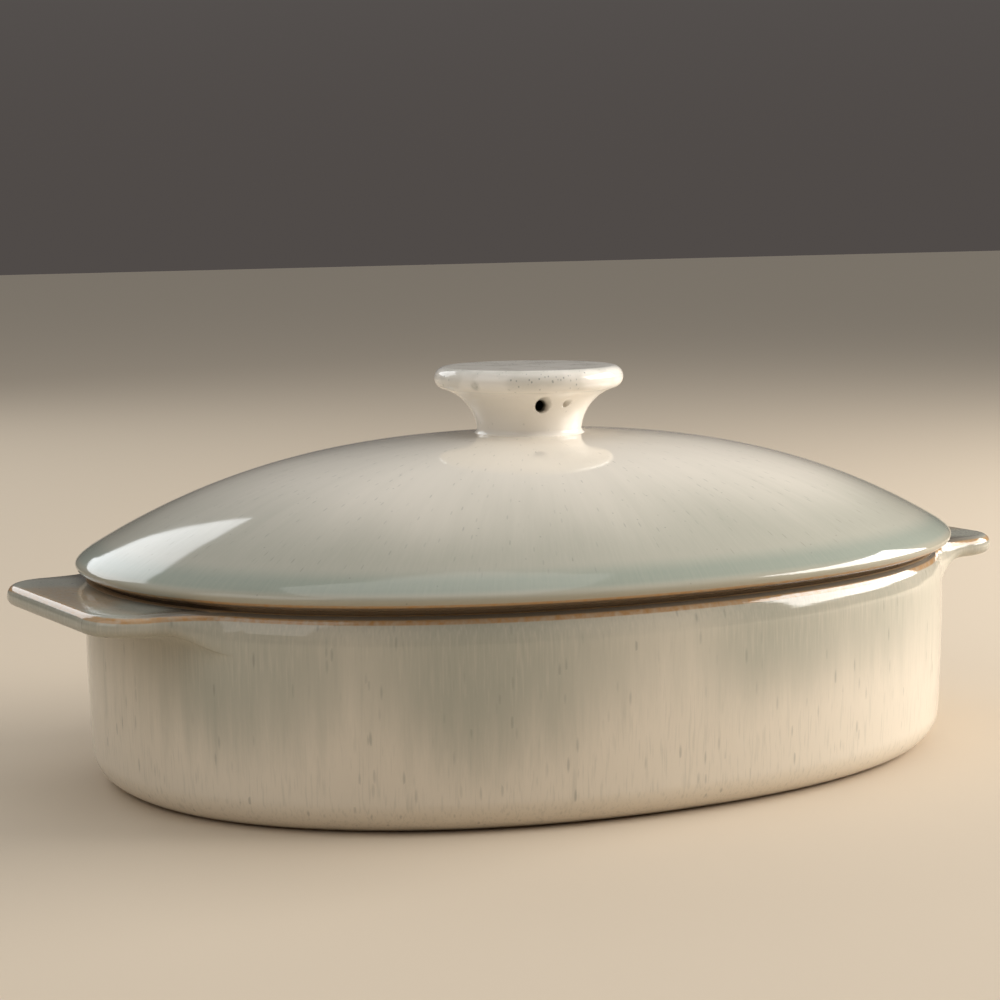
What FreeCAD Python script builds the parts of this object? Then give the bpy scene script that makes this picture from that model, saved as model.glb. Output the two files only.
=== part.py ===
"""Oval covered casserole dish: a two-lug stoneware dish, its domed lid and the lid's hollow knob.

Millimetres, +Z up, +X along the oval's length. The origin is on the surface that the dish stands
on, under the middle of the oval.
"""
import FreeCAD
import Part
import Sketcher
import math
import os

V = FreeCAD.Vector

SIZES = [
    ("dish_half_length", 141.0, "outside of the dish's wall, along X"),
    ("dish_half_width", 106.2, "outside of the dish's wall, along Y"),
    ("dish_end_inset", 12.2, "how much less than the half width the ends' plan radius is"),
    ("rim_height", 61.8, "top of the rim and of the lugs above the table"),
    ("dish_wall", 6.5, "wall thickness"),
    ("dish_floor", 7.0, "top of the inside floor above the table"),
    ("base_corner", 10.5, "outside radius where the wall turns under"),
    ("cavity_corner", 20.0, "inside radius where the wall meets the floor"),
    ("rim_outer_round", 2.8, "rounding of the outside top edge, lugs included"),
    ("rim_inner_round", 1.4, "rounding of the inside top edge"),
    ("foot_width", 9.0, "flat ring that the dish stands on"),
    ("foot_recess", 1.3, "how far the bottom is raised inside that ring"),
    ("lug_reach", 19.0, "how far each lug stands out past the oval's end"),
    ("lug_half_width", 45.0, "half of a lug's width, along Y"),
    ("lug_thickness", 6.4, "thickness of a lug"),
    ("lug_corner", 15.0, "plan radius of a lug's outer corners"),
    ("lug_root", 24.0, "plan radius that blends a lug's side into the wall"),
    ("lug_root_sink", 2.0, "how far that curve is moved in from touching the wall"),
    ("lug_under_round", 2.4, "rounding of a lug's lower edge"),
    ("lug_wall_round", 4.0, "hollow rounding between a lug's underside and the wall"),
    ("lid_overhang", 2.7, "how far the lid's edge stands out past the dish's wall"),
    ("seat_height", 1.2, "how far the lid's seat holds its edge above the rim"),
    ("seat_inset", 3.2, "how far the seat stays inside the outside of the dish's wall"),
    ("lid_edge_height", 5.0, "height of the lid's upright edge"),
    ("lid_rise", 33.6, "rise of the dome above that edge"),
    ("dome_power", 2.55, "exponent of the dome: height falls as this power of the distance"),
    ("lid_wall", 6.2, "thickness of the dome, measured upright"),
    ("lid_under_share", 0.48, "rounding of the lid's lower edge, as a share of the upright edge"),
    ("lid_upper_share", 0.8, "rounding between edge and dome, as a share of the upright edge"),
    ("ring_clearance", 1.3, "gap between the lid's locating ring and the dish's mouth"),
    ("ring_depth", 6.0, "how far the locating ring reaches below the rim"),
    ("ring_width", 4.8, "thickness of the locating ring"),
    ("ring_round", 1.2, "rounding of the locating ring's lower edges"),
    ("knob_shift", 1.8, "how far along X the knob was set from the oval's middle"),
    ("knob_seat_margin", 1.2, "flat of the crown left outside the knob's foot"),
    ("knob_neck_radius", 16.5, "narrowest radius of the neck"),
    ("knob_bead_reach", 1.1, "how far the bead at the knob's foot stands out past the neck"),
    ("knob_bead_height", 1.2, "height of that bead"),
    ("knob_flare", 15.0, "radius of the neck's hollow curve, in section"),
    ("knob_disc_radius", 29.8, "radius of the knob's disc"),
    ("knob_disc_thickness", 7.0, "thickness of the disc at its edge"),
    ("knob_height", 21.5, "height of the knob above the crown"),
    ("knob_crowning", 0.15, "rise of the disc's top at its middle"),
    ("knob_hollow_radius", 10.5, "radius of the hollow inside the knob"),
    ("knob_top_wall", 5.6, "clay left above that hollow"),
    ("vent_radius", 2.05, "radius of the hole that lets steam out of the knob"),
    ("vent_height", 9.7, "height of that hole above the crown"),
    ("vent_turn", 18.0, "angle of that hole from -Y towards -X, in degrees"),
]

DOME_STEPS = 5
FULL_TURN = 360.0
ROOT_TURN = 60.0
ROOT_RUN = math.sin(math.radians(ROOT_TURN))

doc = FreeCAD.newDocument("CoveredCasserole")
sheet = doc.addObject("Spreadsheet::Sheet", "sizes")


class Term:
    """A number together with the sheet expression that it comes from."""

    def __init__(self, value, text):
        self.value = value
        self.text = text

    def joined(self, other, sign, value):
        return Term(value, f"({self.text} {sign} {other.text})")

    def __add__(self, other):
        other = term(other)
        return self.joined(other, "+", self.value + other.value)

    def __sub__(self, other):
        other = term(other)
        return self.joined(other, "-", self.value - other.value)

    def __rsub__(self, other):
        return term(other) - self

    def __mul__(self, other):
        other = term(other)
        return self.joined(other, "*", self.value * other.value)

    def __truediv__(self, other):
        other = term(other)
        return self.joined(other, "/", self.value / other.value)

    def __pow__(self, other):
        other = term(other)
        return self.joined(other, "^", self.value ** other.value)

    def __neg__(self):
        return term(0) - self


def term(number):
    """A Term as it is, or a plain number as a Term."""
    return number if isinstance(number, Term) else Term(float(number), str(number))


def fill_sheet():
    """Put every driving dimension in the sheet under its alias, and return them as Terms."""
    sizes = {}
    for row, (name, value, meaning) in enumerate(SIZES, start=1):
        sheet.set(f"A{row}", name)
        sheet.set(f"B{row}", str(value))
        sheet.set(f"C{row}", meaning)
        sheet.setAlias(f"B{row}", name)
        sizes[name] = Term(value, f"sizes.{name}")
    doc.recompute()
    return sizes


S = fill_sheet()


class Oval:
    """A four-arc oval: half length, half width and the plan radius of its ends."""

    def __init__(self, half_length, half_width, end_radius):
        self.half_length = half_length
        self.half_width = half_width
        self.end_radius = end_radius

    def inset(self, distance):
        """The parallel oval, smaller by this distance all round."""
        return Oval(self.half_length - distance, self.half_width - distance, self.end_radius - distance)

    def scaled(self, share):
        """The similar oval, this many times as large."""
        return Oval(self.half_length * share, self.half_width * share, self.end_radius * share)

    def side_centre(self):
        """Distance along Y from the middle to the centre of a long side's arc."""
        reach = self.half_length - self.end_radius
        spare = self.half_width - self.end_radius
        return (reach * reach - spare * spare) / (spare * 2)

    def contains(self, x, y, slack=0.0):
        """Whether a plan point lies inside the oval, by its distance from the arcs' centres."""
        x, y = abs(x), abs(y)
        end_x = self.half_length.value - self.end_radius.value
        side_y = self.side_centre().value
        if x * side_y > end_x * (y + side_y):
            return math.hypot(x - end_x, y) < self.end_radius.value + slack
        return math.hypot(x, y + side_y) < self.half_width.value + side_y + slack


# Ovals that the pieces share

WALL_OVAL = Oval(S["dish_half_length"], S["dish_half_width"], S["dish_half_width"] - S["dish_end_inset"])
MOUTH_OVAL = WALL_OVAL.inset(S["dish_wall"])
FOOT_OVAL = WALL_OVAL.inset(S["base_corner"])
RECESS_OVAL = FOOT_OVAL.inset(S["foot_width"])
LID_OVAL = WALL_OVAL.inset(-S["lid_overhang"])
RING_OVAL = MOUTH_OVAL.inset(S["ring_clearance"])
HOLLOW_OVAL = RING_OVAL.inset(S["ring_width"])
SEAT_OVAL = WALL_OVAL.inset(S["seat_inset"])

LID_EDGE_BOTTOM = S["rim_height"] + S["seat_height"]
LID_EDGE_TOP = LID_EDGE_BOTTOM + S["lid_edge_height"]
KNOB_FOOT = S["knob_neck_radius"] + S["knob_bead_reach"]
CROWN_SHARE = (KNOB_FOOT + S["knob_shift"] + S["knob_seat_margin"]) / S["dish_half_width"]
CROWN = LID_EDGE_TOP + S["lid_rise"] * (1 - CROWN_SHARE ** S["dome_power"])


# Working with bodies and sketches

def new_body(name):
    """An empty body whose label is the name of its file."""
    body = doc.addObject("PartDesign::Body", name)
    body.Label = name
    return body


def new_sketch(body, name, plane, offset=None):
    """A sketch on one of the body's own origin planes, raised by an offset along its normal."""
    sketch = body.newObject("Sketcher::SketchObject", name)
    role = next(item for item in body.Origin.OriginFeatures if item.Role == plane)
    sketch.AttachmentSupport = [(role, "")]
    sketch.MapMode = "FlatFace"
    if offset is not None:
        sketch.AttachmentOffset = FreeCAD.Placement(V(0, 0, offset.value), FreeCAD.Rotation())
        sketch.setExpression(".AttachmentOffset.Base.z", offset.text)
    return sketch


def constrain(sketch, kind, *places):
    """Add a constraint; a Term as its last place becomes its value and its expression."""
    if isinstance(places[-1], Term):
        size = places[-1]
        index = sketch.addConstraint(Sketcher.Constraint(kind, *places[:-1], size.value))
        sketch.setExpression(f"Constraints[{index}]", size.text)
    else:
        sketch.addConstraint(Sketcher.Constraint(kind, *places))


def arc(sketch, x, y, radius, start, end):
    """An arc drawn anticlockwise between two angles in degrees."""
    circle = Part.Circle(V(x, y, 0), V(0, 0, 1), radius)
    return sketch.addGeometry(Part.ArcOfCircle(circle, math.radians(start), math.radians(end)), False)


def draw_oval(sketch, oval):
    """Four tangent arcs, held by the oval's extents and its end radius."""
    end_x = oval.half_length.value - oval.end_radius.value
    side_y = oval.side_centre().value
    turn = math.degrees(math.atan2(side_y, end_x))
    end_radius = oval.end_radius.value
    side_radius = oval.half_width.value + side_y
    right = arc(sketch, end_x, 0, end_radius, -turn, turn)
    top = arc(sketch, 0, -side_y, side_radius, turn, 180 - turn)
    left = arc(sketch, -end_x, 0, end_radius, 180 - turn, 180 + turn)
    bottom = arc(sketch, 0, side_y, side_radius, 180 + turn, 360 - turn)
    ring = [right, top, left, bottom]
    for here, after in zip(ring, ring[1:] + ring[:1]):
        constrain(sketch, "Tangent", here, 2, after, 1)
    constrain(sketch, "PointOnObject", right, 3, -1)
    constrain(sketch, "Symmetric", right, 3, left, 3, -1, 1)
    constrain(sketch, "Radius", right, oval.end_radius)
    constrain(sketch, "Equal", right, left)
    constrain(sketch, "Equal", top, bottom)
    constrain(sketch, "DistanceX", -1, 1, right, 3, oval.half_length - oval.end_radius)
    constrain(sketch, "DistanceY", top, 3, -1, 1, oval.side_centre())


def line(sketch, start, end):
    """A straight line between two points given as pairs of Terms."""
    points = [V(x.value, y.value, 0) for x, y in (start, end)]
    return sketch.addGeometry(Part.LineSegment(*points), False)


def oval_sketch(body, name, oval, height):
    sketch = new_sketch(body, name, "XY_Plane", height)
    draw_oval(sketch, oval)
    return sketch


def feature(body, kind, name, sketch, length, downward=False):
    """A Pad or Pocket of a sketch by a length. A Pocket cuts downward unless told otherwise."""
    made = body.newObject(f"PartDesign::{kind}", name)
    made.Profile = sketch
    made.Length = length.value
    made.setExpression("Length", length.text)
    made.Reversed = downward
    doc.recompute()
    return made


def pad(body, name, sketch, length, downward=False):
    return feature(body, "Pad", name, sketch, length, downward)


def cut(body, name, sketch, length, upward=False):
    """A Pocket that has to remove material."""
    before = body.Shape.Volume
    made = feature(body, "Pocket", name, sketch, length, upward)
    if body.Shape.Volume > before - 1.0:
        raise RuntimeError(f"{name} removed nothing")
    return made


def loft(body, kind, name, sketches):
    """A smooth loft through sketches, added or removed."""
    made = body.newObject(f"PartDesign::{kind}Loft", name)
    made.Profile = sketches[0]
    made.Sections = sketches[1:]
    made.Ruled = False
    doc.recompute()
    return made


def fillet(body, name, wanted, radius):
    """Round the edges of the body for which wanted(edge) is true."""
    base = body.Tip
    names = [f"Edge{i}" for i, edge in enumerate(base.Shape.Edges, start=1) if wanted(edge)]
    if not names:
        raise RuntimeError(f"{name} found no edges")
    made = body.newObject("PartDesign::Fillet", name)
    made.Base = (base, names)
    made.Radius = radius.value
    made.setExpression("Radius", radius.text)
    doc.recompute()
    return made


def middle(edge):
    """The point halfway along an edge."""
    return edge.valueAt((edge.FirstParameter + edge.LastParameter) / 2)


def level(edge, height):
    """Whether an edge lies flat at this height."""
    first, last = edge.FirstParameter, edge.LastParameter
    points = [edge.valueAt(first + (last - first) * share) for share in (0.0, 0.5, 1.0)]
    return all(abs(point.z - height.value) < 1e-3 for point in points)


def inside(edge, oval):
    point = middle(edge)
    return oval.contains(point.x, point.y, slack=0.01)


# The dish

def draw_lug(sketch):
    """The outline of the +X lug; its two root curves run on a little way into the wall."""
    reach = S["dish_half_length"] + S["lug_reach"]
    half, corner, root = S["lug_half_width"], S["lug_corner"], S["lug_root"]
    end_centre = WALL_OVAL.half_length - WALL_OVAL.end_radius
    blend = (WALL_OVAL.end_radius + root) ** 2 - (half + root) ** 2
    root_x = end_centre + blend ** 0.5 - S["lug_root_sink"]
    back_x = root_x - root * ROOT_RUN

    low_root = arc(sketch, root_x.value, -half.value - root.value, root.value, 90, 90 + ROOT_TURN)
    low_side = line(sketch, (root_x, -half), (reach - corner, -half))
    low_corner = arc(sketch, (reach - corner).value, (corner - half).value, corner.value, 270, 360)
    end = line(sketch, (reach, corner - half), (reach, half - corner))
    high_corner = arc(sketch, (reach - corner).value, (half - corner).value, corner.value, 0, 90)
    high_side = line(sketch, (reach - corner, half), (root_x, half))
    high_root = arc(sketch, root_x.value, half.value + root.value, root.value, 270 - ROOT_TURN, 270)
    back_y = half + root * (1 - math.cos(math.radians(ROOT_TURN)))
    back = line(sketch, (back_x, back_y), (back_x, -back_y))

    constrain(sketch, "Tangent", low_root, 1, low_side, 1)
    constrain(sketch, "Tangent", low_side, 2, low_corner, 1)
    constrain(sketch, "Tangent", low_corner, 2, end, 1)
    constrain(sketch, "Tangent", end, 2, high_corner, 1)
    constrain(sketch, "Tangent", high_corner, 2, high_side, 1)
    constrain(sketch, "Tangent", high_side, 2, high_root, 2)
    constrain(sketch, "Coincident", high_root, 1, back, 1)
    constrain(sketch, "Coincident", back, 2, low_root, 2)
    for side in (low_side, high_side):
        constrain(sketch, "Horizontal", side)
    for upright in (end, back):
        constrain(sketch, "Vertical", upright)
    constrain(sketch, "Equal", low_corner, high_corner)
    constrain(sketch, "Equal", low_root, high_root)
    constrain(sketch, "Radius", low_corner, corner)
    constrain(sketch, "Radius", low_root, root)
    constrain(sketch, "DistanceX", -1, 1, high_corner, 3, reach - corner)
    constrain(sketch, "DistanceY", -1, 1, high_corner, 3, half - corner)
    constrain(sketch, "DistanceY", low_corner, 3, -1, 1, half - corner)
    constrain(sketch, "DistanceX", -1, 1, high_root, 3, root_x)
    constrain(sketch, "DistanceX", -1, 1, low_root, 3, root_x)
    constrain(sketch, "DistanceX", -1, 1, back, 1, back_x)


def add_lugs(body, height):
    """A lug at +X and its mirror image at -X."""
    sketch = new_sketch(body, "lug_outline", "XY_Plane", height)
    draw_lug(sketch)
    first = pad(body, "lug", sketch, S["lug_thickness"])
    plane = next(item for item in body.Origin.OriginFeatures if item.Role == "YZ_Plane")
    mirrored = body.newObject("PartDesign::Mirrored", "other_lug")
    mirrored.Originals = [first]
    mirrored.MirrorPlane = (plane, [""])
    body.Tip = mirrored
    doc.recompute()


def make_dish():
    """The bowl and its two lugs, cast in one."""
    body = new_body("dish")
    rim = S["rim_height"]
    lug_bottom = rim - S["lug_thickness"]
    pad(body, "wall_block", oval_sketch(body, "wall_outline", WALL_OVAL, term(0)), rim)
    add_lugs(body, lug_bottom)
    fillet(body, "base_rounding", lambda edge: level(edge, term(0)), S["base_corner"])
    cavity_depth = rim - S["dish_floor"]
    cut(body, "cavity", oval_sketch(body, "mouth_outline", MOUTH_OVAL, rim), cavity_depth)
    fillet(body, "cavity_rounding", lambda edge: level(edge, S["dish_floor"]), S["cavity_corner"])
    fillet(body, "rim_inner", is_rim_inner_edge, S["rim_inner_round"])
    fillet(body, "rim_outer", is_rim_outer_edge, S["rim_outer_round"])
    fillet(body, "lug_under", is_lug_lower_edge, S["lug_under_round"])
    fillet(body, "lug_wall_blend", is_lug_wall_edge, S["lug_wall_round"])
    recess = oval_sketch(body, "recess_outline", RECESS_OVAL, term(0))
    cut(body, "foot_recess", recess, S["foot_recess"], upward=True)
    return body


def is_rim_inner_edge(edge):
    return level(edge, S["rim_height"]) and inside(edge, MOUTH_OVAL)


def is_rim_outer_edge(edge):
    """The outside top edge, which runs round the lugs as well."""
    return level(edge, S["rim_height"]) and not inside(edge, MOUTH_OVAL)


def is_lug_lower_edge(edge):
    """The free lower edges of the lugs: outside the wall."""
    height = S["rim_height"] - S["lug_thickness"]
    return level(edge, height) and not inside(edge, WALL_OVAL.inset(term(-0.5)))


def is_lug_wall_edge(edge):
    """The edges where the undersides of the lugs meet the wall."""
    height = S["rim_height"] - S["lug_thickness"]
    return level(edge, height) and inside(edge, WALL_OVAL)


# The lid

def dome_sections(body, name, oval, foot, rise):
    """Oval sketches up a dome, from its foot to the flat crown."""
    sketches = []
    for step in range(DOME_STEPS + 1):
        share = 1 - (1 - CROWN_SHARE) * (step / DOME_STEPS)
        height = foot + rise * (1 - share ** S["dome_power"])
        sketches.append(oval_sketch(body, f"{name}_{step}", oval.scaled(share), height))
    return sketches


def make_lid():
    """The domed lid, its seat on the rim and the ring that keeps it in the dish's mouth."""
    body = new_body("lid")
    rim = S["rim_height"]
    ring_bottom = rim - S["ring_depth"]
    outline = oval_sketch(body, "lid_outline", LID_OVAL, LID_EDGE_BOTTOM)
    pad(body, "edge_block", outline, S["lid_edge_height"])
    shell = dome_sections(body, "dome", LID_OVAL, LID_EDGE_TOP, S["lid_rise"])
    loft(body, "Additive", "dome", shell)
    pad(body, "seat_block", oval_sketch(body, "seat_outline", SEAT_OVAL, rim), S["seat_height"])
    ring = oval_sketch(body, "ring_outline", RING_OVAL, ring_bottom)
    pad(body, "ring_block", ring, S["ring_depth"])
    hollow_share = HOLLOW_OVAL.half_length / LID_OVAL.half_length
    dome_at_hollow = LID_EDGE_TOP + S["lid_rise"] * (1 - hollow_share ** S["dome_power"])
    hollow_foot = dome_at_hollow - S["lid_wall"]
    hollow_rise = CROWN - S["lid_wall"] - hollow_foot
    well = oval_sketch(body, "well_outline", HOLLOW_OVAL, ring_bottom)
    cut(body, "well", well, hollow_foot - ring_bottom, upward=True)
    hollow = dome_sections(body, "hollow", HOLLOW_OVAL, hollow_foot, hollow_rise)
    loft(body, "Subtractive", "hollow", hollow)
    under_round = S["lid_edge_height"] * S["lid_under_share"]
    upper_round = S["lid_edge_height"] * S["lid_upper_share"]
    fillet(body, "edge_under", is_lid_lower_edge, under_round)
    fillet(body, "edge_upper", lambda edge: level(edge, LID_EDGE_TOP), upper_round)
    fillet(body, "ring_lower", lambda edge: level(edge, ring_bottom), S["ring_round"])
    return body


def is_lid_lower_edge(edge):
    return level(edge, LID_EDGE_BOTTOM) and not inside(edge, WALL_OVAL)


# The knob

def make_knob():
    """A hollow turned knob with a disc top and a steam hole, standing on the lid's crown."""
    body = new_body("lid_knob")
    profile = new_sketch(body, "knob_profile", "XZ_Plane")
    draw_knob_profile(profile)
    turned = body.newObject("PartDesign::Revolution", "knob_turned")
    turned.Profile = profile
    turned.ReferenceAxis = (profile, ["V_Axis"])
    turned.Angle = FULL_TURN
    doc.recompute()
    hollow = new_sketch(body, "hollow_outline", "XY_Plane", term(0))
    draw_circle(hollow, S["knob_hollow_radius"], term(0))
    cut(body, "knob_hollow", hollow, S["knob_height"] - S["knob_top_wall"], upward=True)
    cut_vent(body)
    place(body, S["knob_shift"], CROWN)
    return body


def draw_circle(sketch, radius, height):
    """A circle on the sketch's upright axis."""
    circle = Part.Circle(V(0, height.value, 0), V(0, 0, 1), radius.value)
    index = sketch.addGeometry(circle, False)
    constrain(sketch, "Radius", index, radius)
    if height.value:
        constrain(sketch, "PointOnObject", index, 3, -2)
        constrain(sketch, "DistanceY", -1, 1, index, 3, height)
    else:
        constrain(sketch, "Coincident", index, 3, -1, 1)


def place(body, x, z):
    """Stand a body at this place, tied to the sheet."""
    body.Placement = FreeCAD.Placement(V(x.value, 0, z.value), FreeCAD.Rotation())
    body.setExpression(".Placement.Base.x", x.text)
    body.setExpression(".Placement.Base.z", z.text)


def flare_centre(neck, edge_centre, flare, edge_radius):
    """Centre of the hollow curve that starts at the neck and runs smoothly into the disc's edge."""
    reach = flare + edge_radius
    dx, dy = edge_centre[0] - neck[0], edge_centre[1] - neck[1]
    apart = math.hypot(dx, dy)
    along = (flare ** 2 - reach ** 2 + apart ** 2) / (2 * apart)
    aside = math.sqrt(flare ** 2 - along ** 2)
    return neck[0] + (along * dx + aside * dy) / apart, neck[1] + (along * dy - aside * dx) / apart


def draw_knob_profile(sketch):
    """Half of the knob's section: foot bead, hollow neck, round disc edge and slightly raised top."""
    edge_radius = S["knob_disc_thickness"] / 2
    edge_x = S["knob_disc_radius"] - edge_radius
    edge_z = S["knob_height"] - S["knob_crowning"] - edge_radius
    foot, neck, bead = KNOB_FOOT, S["knob_neck_radius"], S["knob_bead_height"]
    top, flare, crowning = S["knob_height"], S["knob_flare"], S["knob_crowning"].value
    r, ex, ez = edge_radius.value, edge_x.value, edge_z.value
    cx, cz = flare_centre((neck.value, bead.value), (ex, ez), flare.value, r)
    towards_edge = math.degrees(math.atan2(ez - cz, ex - cx))
    towards_neck = math.degrees(math.atan2(bead.value - cz, neck.value - cx))
    crown_radius = (ex ** 2 + crowning ** 2) / (2 * crowning)
    crown_start = math.degrees(math.acos(ex / crown_radius))

    under = sketch.addGeometry(Part.LineSegment(V(0, 0, 0), V(foot.value, 0, 0)), False)
    cone = sketch.addGeometry(Part.LineSegment(V(foot.value, 0, 0), V(neck.value, bead.value, 0)), False)
    hollow = arc(sketch, cx, cz, flare.value, towards_edge, towards_neck)
    edge = arc(sketch, ex, ez, r, towards_edge - 180, 90)
    crown = arc(sketch, 0, top.value - crown_radius, crown_radius, crown_start, 90)
    axis = sketch.addGeometry(Part.LineSegment(V(0, top.value, 0), V(0, 0, 0)), False)

    constrain(sketch, "Coincident", under, 1, -1, 1)
    constrain(sketch, "Horizontal", under)
    constrain(sketch, "DistanceX", -1, 1, under, 2, foot)
    constrain(sketch, "Coincident", cone, 1, under, 2)
    constrain(sketch, "DistanceX", -1, 1, cone, 2, neck)
    constrain(sketch, "DistanceY", -1, 1, cone, 2, bead)
    constrain(sketch, "Coincident", hollow, 2, cone, 2)
    constrain(sketch, "Radius", hollow, flare)
    constrain(sketch, "Tangent", hollow, 1, edge, 1)
    constrain(sketch, "Radius", edge, edge_radius)
    constrain(sketch, "DistanceX", -1, 1, edge, 3, edge_x)
    constrain(sketch, "DistanceY", -1, 1, edge, 3, edge_z)
    constrain(sketch, "Vertical", edge, 3, edge, 2)
    constrain(sketch, "Coincident", crown, 1, edge, 2)
    constrain(sketch, "PointOnObject", crown, 3, -2)
    constrain(sketch, "Coincident", crown, 2, axis, 1)
    constrain(sketch, "DistanceY", -1, 1, axis, 1, top)
    constrain(sketch, "Coincident", axis, 2, -1, 1)
    constrain(sketch, "Vertical", axis)


def cut_vent(body):
    """A round hole through one side of the neck, from the hollow outward."""
    sketch = new_sketch(body, "vent_outline", "XZ_Plane")
    turn = S["vent_turn"]
    sketch.AttachmentOffset = FreeCAD.Placement(V(0, 0, 0), FreeCAD.Rotation(V(0, -1, 0), turn.value))
    sketch.setExpression(".AttachmentOffset.Rotation.Angle", turn.text)
    draw_circle(sketch, S["vent_radius"], S["vent_height"])
    cut(body, "vent", sketch, S["knob_disc_radius"], upward=True)


def check_document():
    """Stop before anything is written if an object failed or a piece has no sound solid."""
    doc.recompute()
    failed = [item.Name for item in doc.Objects if {"Invalid", "Error"} & set(item.State)]
    if failed:
        raise RuntimeError(f"failed objects: {failed}")
    for body in BODIES:
        if body.Shape.isNull() or not body.Shape.isValid() or len(body.Shape.Solids) != 1:
            raise RuntimeError(f"{body.Label} is not one sound solid")


def write_parts():
    os.makedirs("parts", exist_ok=True)
    for body in BODIES:
        body.Shape.exportStep(f"parts/{body.Label}.step")
        box = body.Shape.BoundBox
        size = f"{box.XLength:.2f} x {box.YLength:.2f} x {box.ZLength:.2f}"
        print(f"{body.Label}: {size} from z {box.ZMin:.2f}")


BODIES = [make_dish(), make_lid(), make_knob()]
check_document()
write_parts()
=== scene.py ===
"""The look of the covered casserole dish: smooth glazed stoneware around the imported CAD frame."""
import math

import bmesh
import bpy
import numpy as np
from mathutils import Matrix, Vector


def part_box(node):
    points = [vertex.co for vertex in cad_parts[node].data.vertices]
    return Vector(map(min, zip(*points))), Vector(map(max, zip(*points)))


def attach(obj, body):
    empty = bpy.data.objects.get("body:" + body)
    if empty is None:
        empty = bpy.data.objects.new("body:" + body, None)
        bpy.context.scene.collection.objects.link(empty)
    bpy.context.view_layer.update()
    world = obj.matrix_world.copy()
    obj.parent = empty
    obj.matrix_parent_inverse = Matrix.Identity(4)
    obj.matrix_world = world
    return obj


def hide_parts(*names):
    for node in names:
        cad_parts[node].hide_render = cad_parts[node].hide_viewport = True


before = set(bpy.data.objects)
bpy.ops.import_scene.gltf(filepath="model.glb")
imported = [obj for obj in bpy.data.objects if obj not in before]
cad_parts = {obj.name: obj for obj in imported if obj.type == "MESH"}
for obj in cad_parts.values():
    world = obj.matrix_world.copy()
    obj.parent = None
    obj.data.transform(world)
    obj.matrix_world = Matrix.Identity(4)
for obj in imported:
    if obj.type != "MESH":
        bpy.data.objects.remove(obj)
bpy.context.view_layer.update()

MM = 0.001

# Places read from the frame, in metres

DISH_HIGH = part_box("dish")[1]
LID_LOW, LID_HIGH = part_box("lid")
KNOB_LOW, KNOB_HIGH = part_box("lid_knob")
RIM_TOP = DISH_HIGH[2]
HALF_WIDTH = DISH_HIGH[1]
LUG_TIP = DISH_HIGH[0]
LID_HALF_LENGTH = LID_HIGH[0]
LID_HALF_WIDTH = LID_HIGH[1]
RING_BOTTOM = LID_LOW[2]
OVERHANG = LID_HALF_WIDTH - HALF_WIDTH
HALF_LENGTH = LID_HALF_LENGTH - OVERHANG
KNOB_X = (KNOB_LOW[0] + KNOB_HIGH[0]) / 2
KNOB_BASE = KNOB_LOW[2]
KNOB_TOP = KNOB_HIGH[2]
KNOB_RADIUS = (KNOB_HIGH[1] - KNOB_LOW[1]) / 2

# Shapes, in metres

PLAN_POWER = 2.125
AROUND = 480

DISH_WALL = 6.5 * MM
DISH_FLOOR = 7.0 * MM
BASE_CORNER = 10.5 * MM
BASE_DRAFT = 1.0 * MM
CAVITY_CORNER = 20.0 * MM
FOOT_WIDTH = 9.0 * MM
FOOT_RECESS = 1.3 * MM
RIM_ROUND_IN = 3.9 * MM
RIM_ROUND_HIGH = 9.5 * MM
RIM_INNER_ROUND = 1.6 * MM

LUG_HALF_WIDTH = 45.0 * MM
LUG_CORNER = 15.0 * MM
LUG_ROOT = 25.0 * MM
LUG_ROOT_THICKNESS = 6.8 * MM
LUG_TIP_THICKNESS = 6.2 * MM
LUG_ROUND_IN = 3.0 * MM
LUG_ROUND_HIGH = 3.2 * MM
LUG_EDGE_ROUND = 2.6 * MM
LUG_BLEND = 5.0 * MM
LUG_ZONE_FOOT = 42 * MM
LUG_ROWS = 64
TURN_WEIGHT = 6 * MM
TOUCH_SLACK = 0.2 * MM

SEAT_HIGH = 1.2 * MM
SEAT_INSET = 3.6 * MM
LID_BOTTOM = RIM_TOP + SEAT_HIGH
LID_EDGE = 5.0 * MM
LIP_IN = 4.6 * MM
LIP_SLOPE = 1.6 * MM
LIP_HIGH = 3.6 * MM
NOSE_OVER = 5.0 * MM
NOSE_STEPS = 14
DOME_POWER = 2.55
DOME_RISE = 33.6 * MM
LID_WALL = 6.2 * MM
RING_CLEARANCE = 1.3 * MM
RING_WIDTH = 4.8 * MM
RING_ROUND = 1.2 * MM
RING_SHOULDER = 0.4 * MM

KNOB_FOOT = 17.6 * MM
KNOB_SUNK = 0.6 * MM
KNOB_NECK = 16.5 * MM
KNOB_NECK_HEIGHT = 1.6 * MM
KNOB_FLARE = 15.0 * MM
KNOB_DISC = 7.0 * MM
KNOB_CROWNING = 0.15 * MM
KNOB_HOLLOW = 10.5 * MM
KNOB_ROOF_ROUND = 4 * MM
KNOB_TOP_WALL = 5.6 * MM
KNOB_TURNED = 160

# Holes in the knob's neck: bearing, height, and a tool as (distance out of the neck, radius) pairs

VENT_TURN = math.radians(18)
VENT_HEIGHT = 9.7 * MM
VENT_TOOL = (
    (30 * MM, 8 * MM),
    (2.4 * MM, 2.7 * MM),
    (0.6 * MM, 2.1 * MM),
    (-1.5 * MM, 1.8 * MM),
    (-15 * MM, 1.8 * MM),
)
DIMPLE_TURN = math.radians(-4)
DIMPLE_HEIGHT = VENT_HEIGHT + 0.6 * MM
DIMPLE_TOOL = ((30 * MM, 8 * MM), (0.9 * MM, 0.9 * MM), (0.2 * MM, 0.5 * MM), (-0.2 * MM, 0.2 * MM))
TOOL_AROUND = 48
NECK_SURFACE = KNOB_NECK + 1.6 * MM


# Working with rings and meshes

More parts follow.
